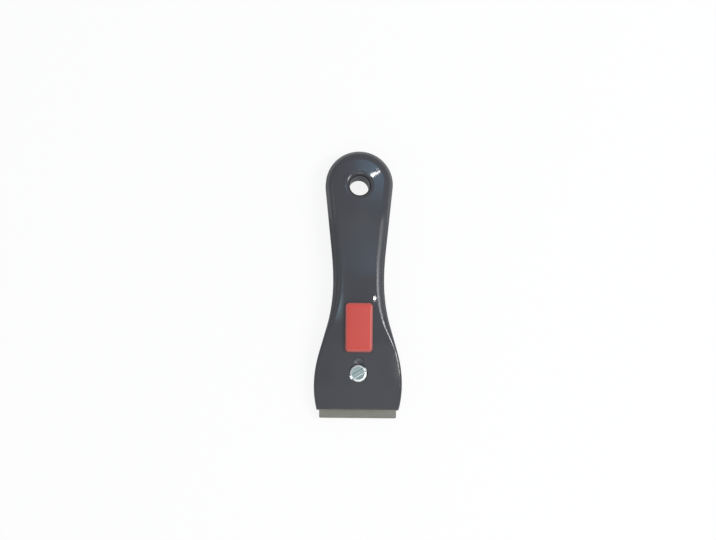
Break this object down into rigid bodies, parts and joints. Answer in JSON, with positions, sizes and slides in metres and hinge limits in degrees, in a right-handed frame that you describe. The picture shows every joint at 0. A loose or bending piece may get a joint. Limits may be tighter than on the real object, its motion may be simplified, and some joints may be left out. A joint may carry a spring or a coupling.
{
  "type": "hob scraper",
  "caption": "Ceramic hob scraper: waisted plastic handle with a hanging hole, a thumb slide that moves a two-edged blade past a steel plate, and a slotted clamp screw.",
  "frame": {"origin": "middle of the flat back face, under the middle of the bounding box", "axes": "+X to the right seen from the front, +Y from the blade end to the hanging hole, +Z out of the front face with the button and the screw"},
  "size_m": [0.0486, 0.1484, 0.0193],
  "materials": {
    "handle_plastic": "glossy dark grey",
    "red_plastic": "satin red",
    "slide_plastic": "matte black",
    "plate_steel": "rolled grey steel",
    "blade_steel": "ground steel",
    "zinc_steel": "bright zinc plating",
    "spring_steel": "blued spring steel"
  },
  "bodies": {
    "handle": {"front_shell": "handle_plastic", "back_shell": "handle_plastic", "support_plate": "plate_steel", "clamp_nut": "zinc_steel"},
    "slider": {"blade_carrier": "slide_plastic", "blade": "blade_steel", "thumb_button": "red_plastic", "detent_spring": "spring_steel"},
    "screw": {"clamp_screw": "zinc_steel"}
  },
  "joints": [
    {"name": "blade_slide", "type": "slide", "parent": "handle", "child": "slider", "axis": [0, -1, 0], "range_m": [0, 0.0035], "deforming": ["detent_spring"]},
    {"name": "screw_turn", "type": "hinge", "parent": "handle", "child": "screw", "pos_m": [0, -0.05015, 0.0099], "axis": [0, 0, 1], "continuous": true}
  ]
}
